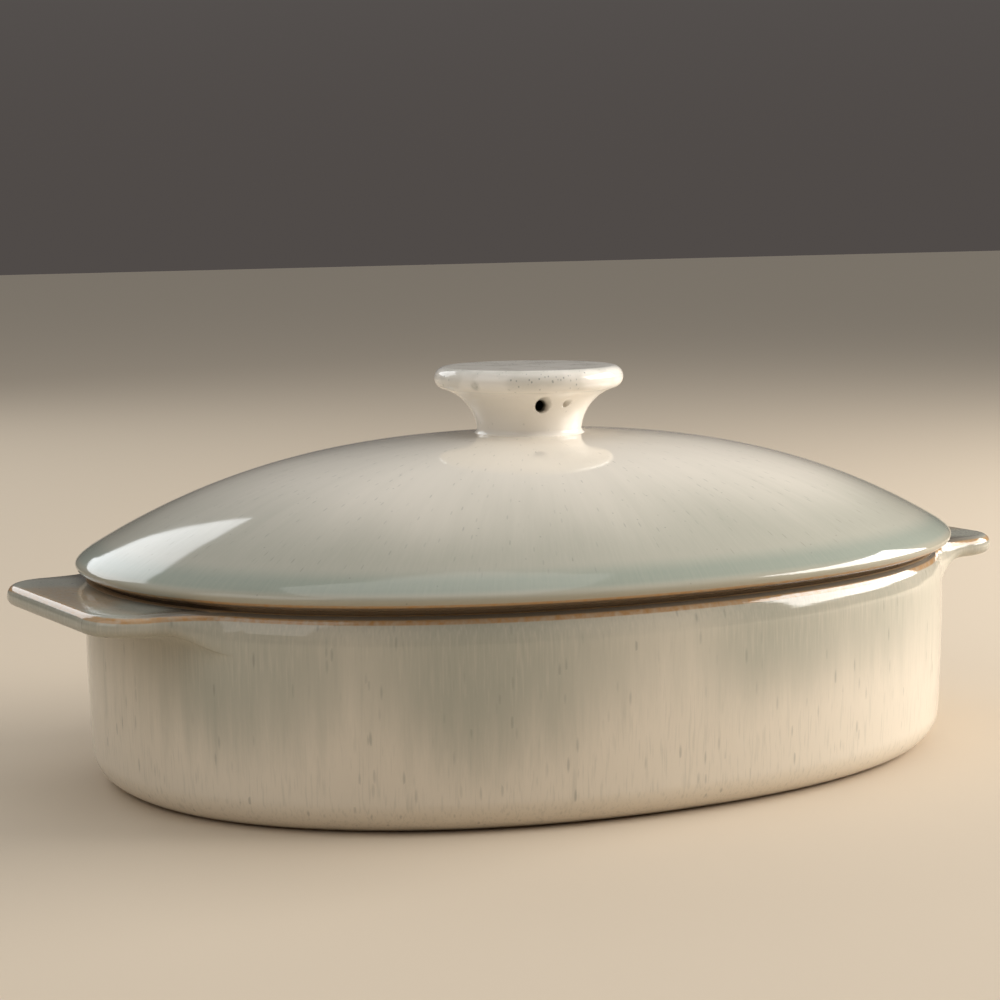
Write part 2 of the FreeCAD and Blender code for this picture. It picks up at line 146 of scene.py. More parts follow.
def plan_point(angle, half_length, half_width, power=PLAN_POWER):
    """A point of the superellipse that all the pieces follow in plan."""
    c, s = np.cos(angle), np.sin(angle)
    x = half_length * np.sign(c) * np.abs(c) ** (2 / power)
    y = half_width * np.sign(s) * np.abs(s) ** (2 / power)
    return np.stack([x, y], axis=-1)


def even_ring(half_length, half_width, count=AROUND):
    """Points spread evenly along the plan outline, with their outward normals."""
    fine = plan_point(np.linspace(0, 2 * np.pi, 40 * count + 1), half_length, half_width)
    points = spread(fine, count + 1)[:-1]
    return points, normals_2d(points)


def spread(path, count):
    """The same path with its points spaced evenly along its length."""
    steps = np.linalg.norm(np.diff(path, axis=0), axis=1)
    along = np.concatenate([[0], np.cumsum(steps)])
    wanted = np.linspace(0, along[-1], count)
    return np.stack([np.interp(wanted, along, path[:, k]) for k in range(path.shape[1])], axis=-1)


def normals_2d(ring):
    """Outward unit normals of a closed anticlockwise ring."""
    tangent = np.roll(ring, -1, axis=0) - np.roll(ring, 1, axis=0)
    tangent /= np.linalg.norm(tangent, axis=1, keepdims=True)
    return np.stack([tangent[:, 1], -tangent[:, 0]], axis=-1)


def scaled(ring, share):
    """The similar ring, this many times as large."""
    return ring * share


def inset(ring, normals, distance):
    """The ring moved inward along its normals."""
    return ring - normals * distance


def raised(ring, z):
    """Plan points at a height, as 3-D points."""
    return np.column_stack([ring, np.full(len(ring), z)])


def quarter(radius, steps):
    """Pairs (radius * (1 - cos), radius * sin) over a quarter turn."""
    turn = np.linspace(0, np.pi / 2, steps)
    return radius * (1 - np.cos(turn)), radius * np.sin(turn)


def mesh_from_rings(name, rings):
    """A closed skin through rings of equal count, each end closed to a middle point."""
    count = len(rings[0])
    first_middle = rings[0].mean(axis=0)
    last_middle = rings[-1].mean(axis=0)
    vertices = np.concatenate([*rings, [first_middle], [last_middle]])
    index = np.arange(count)
    after = np.roll(index, -1)
    faces = []
    for k in range(len(rings) - 1):
        low, high = k * count, (k + 1) * count
        faces += np.column_stack([low + index, low + after, high + after, high + index]).tolist()
    start, end = len(vertices) - 2, len(vertices) - 1
    last = (len(rings) - 1) * count
    faces += [[start, int(b), int(a)] for a, b in zip(index, after)]
    faces += [[end, int(last + a), int(last + b)] for a, b in zip(index, after)]
    mesh = bpy.data.meshes.new(name)
    mesh.from_pydata(vertices.tolist(), [], faces)
    mesh.update()
    tidy_normals(mesh)
    made = bpy.data.objects.new(name, mesh)
    bpy.context.collection.objects.link(made)
    return made


def tidy_normals(mesh):
    """Outward normals and smooth shading all over."""
    work = bmesh.new()
    work.from_mesh(mesh)
    bmesh.ops.remove_doubles(work, verts=work.verts, dist=1e-6)
    bmesh.ops.recalc_face_normals(work, faces=work.faces)
    for face in work.faces:
        face.smooth = True
    work.to_mesh(mesh)
    work.free()


# The dish

def root_centre(wall):
    """X of the centre of a root curve: a circle beside the lug that just touches the wall."""
    y = LUG_HALF_WIDTH + LUG_ROOT
    near, far = HALF_LENGTH * 0.6, LUG_TIP
    for _ in range(40):
        x = (near + far) / 2
        gap = np.linalg.norm(wall - (x, y), axis=1).min()
        near, far = (x, far) if gap < LUG_ROOT else (near, x)
    return x


def lug_outline(wall):
    """The +X lug's outline from the wall at -Y round to the wall at +Y, and its touching height."""
    x = root_centre(wall)
    y = LUG_HALF_WIDTH + LUG_ROOT
    touch = wall[np.linalg.norm(wall - (x, y), axis=1).argmin()]
    start = math.atan2(touch[1] - y, touch[0] - x)
    turn = np.linspace(start, -math.pi / 2, 200)
    root = np.column_stack([x + LUG_ROOT * np.cos(turn), y + LUG_ROOT * np.sin(turn)])
    corner_turn = np.linspace(math.pi / 2, 0, 200)
    corner_x, corner_y = LUG_TIP - LUG_CORNER, LUG_HALF_WIDTH - LUG_CORNER
    corner = np.column_stack(
        [corner_x + LUG_CORNER * np.cos(corner_turn), corner_y + LUG_CORNER * np.sin(corner_turn)]
    )
    half = np.concatenate([root, corner])
    mirrored = half[::-1] * (1, -1)
    return np.concatenate([half, mirrored])[::-1], touch[1]


def spaced_map(count, share):
    """Fractions 0..1 that start and end at this share of an even pace, and run faster between."""
    even = np.linspace(0, 1, count)
    return even - (1 - share) * np.sin(2 * np.pi * even) / (2 * np.pi)


def at_fractions(path, fractions):
    """Points of a path at fractions of its length."""
    steps = np.linalg.norm(np.diff(path, axis=0), axis=1)
    along = np.concatenate([[0], np.cumsum(steps)])
    wanted = fractions * along[-1]
    return np.stack([np.interp(wanted, along, path[:, k]) for k in range(path.shape[1])], axis=-1)


def path_length(path):
    """Length of a path from its first point to its last."""
    return np.linalg.norm(np.diff(path, axis=0), axis=1).sum()


def outer_outline(wall):
    """The plan outline of the rim with both lugs: one point for each point of the wall."""
    outline = wall.copy()
    lug, touch = lug_outline(wall)
    for side in (1, -1):
        facing = wall[:, 0] * side > 0
        on_lug = np.nonzero(facing & (np.abs(wall[:, 1]) < touch + TOUCH_SLACK))[0]
        order = on_lug[np.argsort(wall[on_lug, 1])]
        pace = path_length(wall[order]) / path_length(lug)
        outline[order] = at_fractions(lug, spaced_map(len(order), pace)) * (side, 1)
    return outline


def resample(polyline, weights, count):
    """Points of a polyline at even steps of a running weight."""
    wanted = np.linspace(0, weights[-1], count)
    return np.stack([np.interp(wanted, weights, polyline[:, k]) for k in range(3)], axis=-1)


def running_weight(polyline):
    """Length run so far plus a share for each turn, so that round edges get more rows."""
    steps = np.diff(polyline, axis=0)
    lengths = np.linalg.norm(steps, axis=1)
    keep = np.maximum(lengths, 1e-9)
    ways = steps / keep[:, None]
    bends = np.arccos(np.clip((ways[1:] * ways[:-1]).sum(axis=1), -1, 1))
    bends[(lengths[1:] < 1e-8) | (lengths[:-1] < 1e-8)] = 0
    gain = lengths + TURN_WEIGHT * np.concatenate([[0], bends])
    return np.concatenate([[0], np.cumsum(gain)])


def lug_column(wall, wall_normal, outline, normal):
    """One upright section of the rim, from the wall out round the lug and in again over the top."""
    reach = np.linalg.norm(outline - wall)
    way = (outline - wall) / reach if reach > 1e-6 else wall_normal
    full = LUG_BLEND + LUG_EDGE_ROUND
    share = reach / (reach ** 4 + full ** 4) ** 0.25
    taper = min(1, reach / (LUG_TIP - HALF_LENGTH))
    tip = LUG_ROOT_THICKNESS + (LUG_TIP_THICKNESS - LUG_ROOT_THICKNESS) * taper
    high = RIM_ROUND_HIGH + (LUG_ROUND_HIGH - RIM_ROUND_HIGH) * share
    deep = RIM_ROUND_IN + (LUG_ROUND_IN - RIM_ROUND_IN) * share
    drop = max(0, high - (tip - LUG_EDGE_ROUND))
    blend_foot = RIM_TOP - LUG_ROOT_THICKNESS - LUG_BLEND - drop
    points = [(*wall, LUG_ZONE_FOOT)]
    for out, up in zip(*quarter(LUG_BLEND, 10)):
        points.append((*(wall + way * out * share), blend_foot + up))
    for back, up in zip(*quarter(LUG_EDGE_ROUND, 10)):
        place = outline - normal * share * (LUG_EDGE_ROUND - up)
        points.append((*place, RIM_TOP - tip - drop + back))
    for back, up in zip(*quarter(1, 12)):
        points.append((*(outline - normal * deep * back), RIM_TOP - high * (1 - up)))
    points.append((*(wall - wall_normal * (DISH_WALL - RIM_INNER_ROUND)), RIM_TOP))
    return np.array(points)


def densified(points, step=0.3 * MM):
    """The same polyline with extra points on its long runs."""
    out = [points[0]]
    for a, b in zip(points[:-1], points[1:]):
        pieces = max(1, int(np.linalg.norm(b - a) / step))
        out += [a + (b - a) * k / pieces for k in range(1, pieces + 1)]
    return np.array(out)


def base_rings(wall, normals):
    """The underside: a shallow recess inside a flat foot ring, and the corner up to the wall."""
    base = inset(wall, normals, BASE_DRAFT)
    recess = inset(base, normals, BASE_CORNER + FOOT_WIDTH)
    rings = [raised(scaled(recess, share), FOOT_RECESS) for share in (0.05, 0.3, 0.6, 0.85, 0.97, 1.0)]
    back, up = quarter(FOOT_RECESS * 0.6, 5)
    for out, drop in zip(back[::-1], up):
        rings.append(raised(inset(recess, normals, -out * 0.5), FOOT_RECESS * 0.6 - drop * 0.999))
    rings.append(raised(inset(base, normals, BASE_CORNER + FOOT_WIDTH / 2), 0))
    back, up = quarter(BASE_CORNER, 16)
    for inward, rise in zip(back[::-1], up[::-1]):
        rings.append(raised(inset(base, normals, inward), BASE_CORNER - rise))
    return rings


def wall_rings(wall, normals):
    """The outside of the wall, drawn in a little towards its foot."""
    rings = []
    for share in np.linspace(0, 1, 16)[1:-1]:
        z = BASE_CORNER + (LUG_ZONE_FOOT - BASE_CORNER) * share
        rings.append(raised(inset(wall, normals, BASE_DRAFT * (1 - share) ** 1.6), z))
    return rings


def rim_rings(wall, normals):
    """The upper wall, the lugs and the rim's top."""
    outline = outer_outline(wall)
    outline_normals = normals_2d(outline)
    columns = []
    for section in zip(wall, normals, outline, outline_normals):
        column = densified(lug_column(*section))
        columns.append(resample(column, running_weight(column), LUG_ROWS))
    return list(np.stack(columns, axis=1))


def cavity_rings(wall, normals):
    """The inside: rounded in from the rim, down the wall, and through a wide corner to the floor."""
    rings = []
    back, up = quarter(RIM_INNER_ROUND, 7)
    for inward, drop in zip(up, back):
        rings.append(raised(inset(wall, normals, DISH_WALL - RIM_INNER_ROUND + inward), RIM_TOP - drop))
    for z in np.linspace(RIM_TOP - RIM_INNER_ROUND, DISH_FLOOR + CAVITY_CORNER, 12)[1:]:
        rings.append(raised(inset(wall, normals, DISH_WALL), z))
    back, up = quarter(CAVITY_CORNER, 16)
    for inward, drop in zip(back[1:], up[1:]):
        rings.append(raised(inset(wall, normals, DISH_WALL + inward), DISH_FLOOR + CAVITY_CORNER - drop))
    floor = inset(wall, normals, DISH_WALL + CAVITY_CORNER)
    rings += [raised(scaled(floor, share), DISH_FLOOR) for share in (0.92, 0.8, 0.6, 0.35, 0.1)]
    return rings


def make_dish():
    """The bowl and its two lugs in one skin."""
    wall = even_ring(HALF_LENGTH, HALF_WIDTH)
    rings = base_rings(*wall) + wall_rings(*wall) + rim_rings(*wall) + cavity_rings(*wall)
    dish = mesh_from_rings("stoneware_dish", rings)
    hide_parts("dish")
    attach(dish, "dish")
    return dish


# The lid

def dome_height(share):
    """Height of the dome above the table at a share of the way from its middle to its edge."""
    return LID_BOTTOM + LID_EDGE + DOME_RISE * (1 - share ** DOME_POWER)


def nose_rings(outline, normals):
    """The lid's round edge: out under it, and over on to the dome."""
    rings = []
    turn = np.linspace(0, 1, NOSE_STEPS)[:-1]
    for t in turn:
        inward = LIP_IN * (1 - t) ** 2
        rise = 2 * LIP_SLOPE * t * (1 - t) + LIP_HIGH * t ** 2
        rings.append(raised(inset(outline, normals, inward), LID_BOTTOM + rise))
    inner_share = nose_share(outline)
    inner = np.column_stack([outline * inner_share[:, None], dome_height(inner_share)])
    start = raised(outline, LID_BOTTOM + LIP_HIGH)
    pull = raised(outline, LID_BOTTOM + LID_EDGE)
    for t in turn:
        rings.append(start * (1 - t) ** 2 + pull * 2 * t * (1 - t) + inner * t ** 2)
    return rings


def nose_share(outline):
    """Share of the way from the lid's middle to its edge at which the round edge meets the dome."""
    return 1 - NOSE_OVER / np.linalg.norm(outline, axis=1)


def hollow_rings(hollow, normals):
    """The underside of the dome and the inside of the locating ring, with its rounded lower edge."""
    share = 1 - (OVERHANG + DISH_WALL + RING_CLEARANCE + RING_WIDTH) / LID_HALF_LENGTH
    foot = dome_height(share) - LID_WALL
    rise = dome_height(0) - LID_WALL - foot
    rings = []
    for share in np.concatenate([np.linspace(0.04, 0.9, 16), np.linspace(0.93, 1, 6)]):
        rings.append(raised(scaled(hollow, share), foot + rise * (1 - share ** DOME_POWER)))
    rings += [raised(hollow, z) for z in np.linspace(foot, RING_BOTTOM + RING_ROUND, 5)[1:-1]]
    for inward, drop in zip(*quarter(RING_ROUND, 6)):
        rings.append(raised(inset(hollow, normals, -inward), RING_BOTTOM + RING_ROUND - drop))
    return rings


def locating_rings(ring, normals):
    """The outside of the locating ring, from its lower edge up to the seat."""
    rings = []
    back, up = quarter(RING_ROUND, 6)
    for inward, drop in zip(back[::-1], up[::-1]):
        rings.append(raised(inset(ring, normals, inward), RING_BOTTOM + RING_ROUND - drop))
    rings.append(raised(ring, RIM_TOP - RING_SHOULDER))
    rings.append(raised(inset(ring, normals, -RING_SHOULDER), RIM_TOP))
    return rings


def dome_rings(outline):
    """The dome's top, from the round edge up to its middle."""
    rings = []
    for step in 1 - np.linspace(0, 1, 44)[:-2] ** 0.9:
        share = nose_share(outline) * step
        rings.append(np.column_stack([outline * share[:, None], dome_height(share)]))
    return rings


def make_lid():
    """The lid: a dome with a locating ring and a seat that holds its edge just above the rim."""
    outline, normals = even_ring(LID_HALF_LENGTH, LID_HALF_WIDTH)
    ring_inset = OVERHANG + DISH_WALL + RING_CLEARANCE
    seat = inset(outline, normals, OVERHANG + SEAT_INSET)
    rings = hollow_rings(inset(outline, normals, ring_inset + RING_WIDTH), normals)
    rings += locating_rings(inset(outline, normals, ring_inset), normals)
    rings += [raised(seat, RIM_TOP), raised(seat, LID_BOTTOM)]
    rings += nose_rings(outline, normals) + dome_rings(outline)
    lid = mesh_from_rings("domed_lid", rings)
    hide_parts("lid")
    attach(lid, "lid")
    return lid


# The knob

def arc_points(centre, radius, start, end, steps):
    """Points along an arc between two angles."""
    turn = np.linspace(start, end, steps)
    return [(centre[0] + radius * math.cos(t), centre[1] + radius * math.sin(t)) for t in turn]


def knob_section():
    """The knob's section as (radius, height above its foot), from the hollow's roof round to the top."""
    edge = KNOB_DISC / 2
    height = KNOB_TOP - KNOB_BASE
    edge_centre = (KNOB_RADIUS - edge, height - KNOB_CROWNING - edge)
    neck = (KNOB_NECK, KNOB_NECK_HEIGHT)
    dx, dy = edge_centre[0] - neck[0], edge_centre[1] - neck[1]
    apart = math.hypot(dx, dy)
    along = (KNOB_FLARE ** 2 - (KNOB_FLARE + edge) ** 2 + apart ** 2) / (2 * apart)
    aside = math.sqrt(KNOB_FLARE ** 2 - along ** 2)
    flare = (neck[0] + (along * dx + aside * dy) / apart, neck[1] + (along * dy - aside * dx) / apart)
    to_neck = math.atan2(neck[1] - flare[1], neck[0] - flare[0])
    to_edge = math.atan2(edge_centre[1] - flare[1], edge_centre[0] - flare[0])
    roof = height - KNOB_TOP_WALL
    flat = KNOB_HOLLOW - KNOB_ROOF_ROUND
    section = [(0.5 * MM, roof), (flat, roof)]
    section += arc_points((flat, roof - KNOB_ROOF_ROUND), KNOB_ROOF_ROUND, math.pi / 2, 0, 8)
    section += [(KNOB_HOLLOW, 4 * MM), (KNOB_HOLLOW, -KNOB_SUNK), (KNOB_FOOT + 0.8 * MM, -KNOB_SUNK)]
    section += [(KNOB_FOOT + 0.1 * MM, 0.15 * MM), (KNOB_FOOT - 0.6 * MM, 0.7 * MM)]
    section += arc_points(flare, KNOB_FLARE, to_neck, to_edge, 36)
    section += arc_points(edge_centre, edge, to_edge - math.pi, math.pi / 2, 26)[1:]
    for share in np.linspace(1, 0.03, 12)[1:]:
        section.append((edge_centre[0] * share, height - KNOB_CROWNING * share ** 2))
    return section


def make_knob():
    """The turned knob, with a steam hole and a small dimple in its neck."""
    turn = np.linspace(0, 2 * np.pi, KNOB_TURNED, endpoint=False)
    ring = np.column_stack([np.cos(turn), np.sin(turn)])
    foot = (KNOB_X, 0, KNOB_BASE)
    knob = mesh_from_rings("hollow_knob", [raised(ring * radius, z) + foot for radius, z in knob_section()])
    cut_hole(knob, VENT_TURN, VENT_HEIGHT, VENT_TOOL)
    cut_hole(knob, DIMPLE_TURN, DIMPLE_HEIGHT, DIMPLE_TOOL)
    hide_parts("lid_knob")
    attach(knob, "lid")
    return knob


def cut_hole(knob, turn, height, tool_section):
    """Cut a round hole into the neck with a turned tool."""
    around = np.linspace(0, 2 * np.pi, TOOL_AROUND, endpoint=False)
    way = np.array((-math.sin(turn), -math.cos(turn), 0))
    side = np.array((math.cos(turn), -math.sin(turn), 0))
    up = np.array((0, 0, 1))
    rings = []
    for out, radius in tool_section:
        middle = np.array((KNOB_X, 0, KNOB_BASE + height)) + way * (NECK_SURFACE + out)
        rings.append(middle + radius * (np.outer(np.cos(around), side) + np.outer(np.sin(around), up)))
    tool = mesh_from_rings("tool", rings)
    cutter = knob.modifiers.new("hole", "BOOLEAN")
    cutter.operation = "DIFFERENCE"
    cutter.solver = "EXACT"
    cutter.object = tool
    bpy.context.view_layer.update()
    cut = bpy.data.meshes.new_from_object(knob.evaluated_get(bpy.context.evaluated_depsgraph_get()))
    knob.modifiers.clear()
    knob.data = cut
    bpy.data.objects.remove(tool)


# Glazes: colours, then the places where they change, in metres

CREAM = (0.77, 0.69, 0.57)
LID_CREAM = (0.80, 0.735, 0.635)
KNOB_CREAM = (0.92, 0.87, 0.79)
HAZE = (0.42, 0.41, 0.335)
DEEP = (0.30, 0.30, 0.25)
# Partly the haze glaze, partly painted: a reflection of the dark surroundings on flat tops, and the shade
# under the lugs
OLIVE_REFLECTION_AND_SHADE = (0.31, 0.315, 0.265)
TEAL = (0.31, 0.35, 0.29)
EDGE = (0.42, 0.39, 0.30)
SPECK = (0.13, 0.14, 0.13)
CARAMEL = (0.46, 0.25, 0.09)
BISQUE = (0.52, 0.38, 0.24)
# Painted shade: the dark of the slot between the lid's edge and the rim
SLOT_SHADE = (0.13, 0.10, 0.07)

THICK_PATCHES = (
    ((-62 * MM, -95 * MM, 42 * MM), 62 * MM, 1.0),
    ((40 * MM, -100 * MM, 60 * MM), 55 * MM, 0.7),
    ((-118 * MM, -60 * MM, 40 * MM), 45 * MM, 0.7),
)
LUG_MIDDLE = 60 * MM
LUG_SHADE_REACH = 68 * MM
BLOTCH = (KNOB_X - 26.2 * MM, -12.8 * MM, KNOB_TOP - 4.8 * MM)
BLOTCH_RADIUS = 2.2 * MM


class Glaze:
    """A material, with short ways to add and wire its nodes."""

    def __init__(self, name, color):
        self.color = color
        self.material = bpy.data.materials.new(name)
        self.material.use_nodes = True
        self.tree = self.material.node_tree
        self.shader = self.tree.nodes["Principled BSDF"]
        self.place = self.add("ShaderNodeTexCoord").outputs["Object"]
        self.x, self.y, self.z = self.add("ShaderNodeSeparateXYZ", self.place).outputs

    def add(self, kind, *inputs, **settings):
        node = self.tree.nodes.new(kind)
        for name, value in settings.items():
            setattr(node, name, value)
        for socket, value in zip(node.inputs, inputs):
            self.feed(socket, value)
        return node

    def feed(self, socket, value):
        if isinstance(value, bpy.types.NodeSocket):
            self.tree.links.new(value, socket)
        else:
            socket.default_value = value

    def math(self, operation, *inputs):
        return self.add("ShaderNodeMath", *inputs, operation=operation).outputs[0]

    def vector(self, operation, *inputs):
        node = self.add("ShaderNodeVectorMath", *inputs, operation=operation)
        return node.outputs["Value" if operation in ("LENGTH", "DOT_PRODUCT") else "Vector"]

    def noise(self, vector, scale, detail=2.0):
        """A smooth random value about 0.5, with this many bumps to the metre."""
        node = self.add("ShaderNodeTexNoise")
        self.feed(node.inputs["Vector"], vector)
        node.inputs["Scale"].default_value = scale
        node.inputs["Detail"].default_value = detail
        return node.outputs["Fac"]

    def step(self, value, low, high):
        """A smooth step, from 0 where the value is low to 1 where it is high."""
        node = self.add("ShaderNodeMapRange", value, low, high, interpolation_type="SMOOTHSTEP")
        return node.outputs[0]

    def ramp(self, value, low, high, start, end):
        """The value stretched from low..high to start..end."""
        node = self.add("ShaderNodeMapRange", value, low, high, start, end)
        return node.outputs[0]

    def mix(self, share, under, over):
        """The colour under, covered by the colour over in this share."""
        node = self.add("ShaderNodeMix", data_type="RGBA")
        self.feed(node.inputs[0], share)
        self.feed(node.inputs[6], under if isinstance(under, bpy.types.NodeSocket) else (*under, 1))
        self.feed(node.inputs[7], over if isinstance(over, bpy.types.NodeSocket) else (*over, 1))
        return node.outputs[2]

    def times(self, one, other):
        return self.math("MULTIPLY", one, other)

    def plus(self, one, other):
        return self.math("ADD", one, other)

    def most(self, *values):
        """The greatest of several values."""
        greatest = values[0]
        for value in values[1:]:
            greatest = self.math("MAXIMUM", greatest, value)
        return greatest

    def vary(self, noise, start, end):
        """A noise turned into a value that wanders between start and end."""
        return self.ramp(noise, 0.3, 0.7, start, end)

    def cover(self, share, color):
        """Lay a colour over the glaze's colour so far, in this share."""
        self.color = self.mix(share, self.color, color)

    def blob(self, centre, radius):
        """1 at a place, fading to 0 at this distance from it."""
        far = self.vector("LENGTH", self.vector("SUBTRACT", self.place, centre))
        return self.step(far, radius, radius * 0.25)

    def specks(self, spacing, size, stretch):
        """Specks about this far apart: 1 inside, 0 outside, their length along the given stretch."""
        cells = self.add("ShaderNodeTexVoronoi")
        self.feed(cells.inputs["Vector"], self.place)
        cells.inputs["Scale"].default_value = 1 / spacing
        apart = self.vector("SUBTRACT", self.place, cells.outputs["Position"])
        far = self.vector("LENGTH", self.vector("MULTIPLY", apart, stretch))
        return self.step(far, size, size * 0.3)

    def squared(self, value):
        return self.math("POWER", value, 2.0)

    def dashes(self, spacing, width, length, chance):
        """Short strokes that point away from the lid's middle, in this share of the cells."""
        flat = self.vector("MULTIPLY", self.place, (1, 1, 0))
        cells = self.add("ShaderNodeTexVoronoi", voronoi_dimensions="2D")
        self.feed(cells.inputs["Vector"], flat)
        cells.inputs["Scale"].default_value = 1 / spacing
        way = self.vector("NORMALIZE", flat)
        apart = self.vector("SUBTRACT", flat, cells.outputs["Position"])
        along = self.vector("DOT_PRODUCT", apart, way)
        total = self.vector("LENGTH", apart)
        across = self.math("SQRT", self.math("SUBTRACT", self.squared(total), self.squared(along)))
        wide = self.math("DIVIDE", across, width)
        long = self.math("DIVIDE", self.math("ABSOLUTE", along), length)
        far = self.math("SQRT", self.plus(self.squared(wide), self.squared(long)))
        tint = self.add("ShaderNodeSeparateColor", cells.outputs["Color"]).outputs[0]
        chosen = self.ramp(tint, chance, 0.0, 0.0, 1.0)
        return self.times(self.step(far, 1.0, 0.5), chosen)

    def oval_value(self, half_length, half_width):
        """Below 1 inside the upright oval cylinder of these half sizes, above 1 outside it."""
        x = self.math("DIVIDE", self.math("ABSOLUTE", self.x), half_length)
        y = self.math("DIVIDE", self.math("ABSOLUTE", self.y), half_width)
        return self.plus(self.math("POWER", x, PLAN_POWER), self.math("POWER", y, PLAN_POWER))

    def finish(self, roughness, height, depth):
        """Wire the colour so far, the roughness and a bump of this depth in metres."""
        self.feed(self.shader.inputs["Base Color"], self.color)
        self.feed(self.shader.inputs["Roughness"], roughness)
        self.shader.inputs["IOR"].default_value = 1.52
        bump = self.add("ShaderNodeBump")
        bump.inputs["Strength"].default_value = 1.0
        bump.inputs["Distance"].default_value = depth
        self.feed(bump.inputs["Height"], height)
        self.feed(self.shader.inputs["Normal"], bump.outputs[0])
        return self.material


def dish_glaze():
    """Cream below, green-grey haze above with a streaky lower edge, caramel where the rim is thin."""
    g = Glaze("dish_glaze", CREAM)
    drawn = g.vector("MULTIPLY", g.place, (1, 1, 0.06))
    fine, broad = g.noise(drawn, 1500), g.noise(drawn, 300)
    lugs = g.most(*(g.blob((x, 0, LUG_MIDDLE), LUG_SHADE_REACH) for x in (LUG_TIP, -LUG_TIP)))
    cover_with_haze(g, fine, broad)
    # Dark olive on and just under the lugs and on the rim's top: partly haze glaze, partly painted shade
    # under the lugs and a painted reflection of the dark surroundings on the flat tops
    shade_under_lugs = g.times(lugs, g.step(g.z, 50 * MM, 57 * MM))
    dark_tops_and_lug_shade = g.most(g.step(g.z, RIM_TOP - 0.8 * MM, RIM_TOP - 0.1 * MM), shade_under_lugs)
    g.cover(g.times(dark_tops_and_lug_shade, 0.8), OLIVE_REFLECTION_AND_SHADE)
    cover_with_streaks(g, fine, broad)
    grain = g.noise(g.place, 500)
    cover_rim(g, lugs, grain)
    bare = bare_clay(g)
    g.cover(bare, g.mix(grain, BISQUE, CARAMEL))
    gloss = g.vary(g.noise(g.place, 90), 0.06, 0.10)
    height = g.plus(g.noise(g.place, 60, 1.0), g.times(fine, 0.08))
    return g.finish(g.most(gloss, g.times(bare, 0.75)), height, 0.12 * MM)


def cover_with_haze(g, fine, broad):
    """Haze on the upper wall. It reaches lower, and is stronger, in a few patches."""
    patch = g.noise(g.vector("MULTIPLY", g.place, (1, 1, 0.4)), 16, 1.0)
    thick = g.most(*(g.times(g.blob(centre, radius), amount) for centre, radius, amount in THICK_PATCHES))
    edge = g.math("SUBTRACT", g.vary(patch, 50 * MM, 32 * MM), g.times(thick, 20 * MM))
    above = g.math("SUBTRACT", g.z, edge)
    above = g.plus(above, g.vary(fine, -5 * MM, 5 * MM))
    above = g.plus(above, g.vary(broad, -4 * MM, 4 * MM))
    amount = g.plus(g.vary(patch, 0.40, 0.70), g.times(thick, 0.40))
    g.cover(g.times(g.step(above, -18 * MM, 20 * MM), amount), HAZE)


def cover_with_streaks(g, fine, broad):
    """Fine upright streaks, soft smudges and small dark flecks."""
    g.cover(g.times(g.step(fine, 0.50, 0.70), 0.14), CREAM)
    g.cover(g.times(g.step(fine, 0.50, 0.30), 0.16), DEEP)
    smudge = g.times(g.step(broad, 0.60, 0.78), g.step(g.noise(g.place, 60), 0.45, 0.65))
    g.cover(g.times(smudge, 0.25), DEEP)
    flecks = g.specks(4.2 * MM, 0.6 * MM, (1, 1, 0.20))
    g.cover(g.times(flecks, g.ramp(broad, 0.4, 0.6, 0.0, 0.32)), SPECK)


def cover_rim(g, lugs, grain):
    """Painted shade on the rim's top, in the slot under the lid's edge, and a caramel line below it that
    climbs on to the lugs.
    """
    line = g.math("SUBTRACT", g.z, g.times(lugs, 1.2 * MM))
    # Painted shade in the slot under the lid's edge, away from the lugs
    gap = g.times(g.step(line, RIM_TOP - 1.5 * MM, RIM_TOP - 1.1 * MM), g.step(lugs, 0.6, 0.3))
    g.cover(g.times(gap, 0.85), SLOT_SHADE)
    above = g.step(line, RIM_TOP - 2.7 * MM, RIM_TOP - 2.3 * MM)
    below = g.step(line, RIM_TOP - 1.0 * MM, RIM_TOP - 1.4 * MM)
    g.cover(g.times(g.times(above, below), g.vary(grain, 0.5, 1.0)), CARAMEL)


def bare_clay(g):
    """1 on the unglazed seat of the lid and under the foot."""
    inside = g.step(g.oval_value(HALF_LENGTH, HALF_WIDTH), 1.0, 0.985)
    seat = g.times(inside, g.step(g.z, RIM_TOP - 0.4 * MM, RIM_TOP - 0.1 * MM))
    return g.most(seat, g.step(g.z, 1.0 * MM, 0.4 * MM))


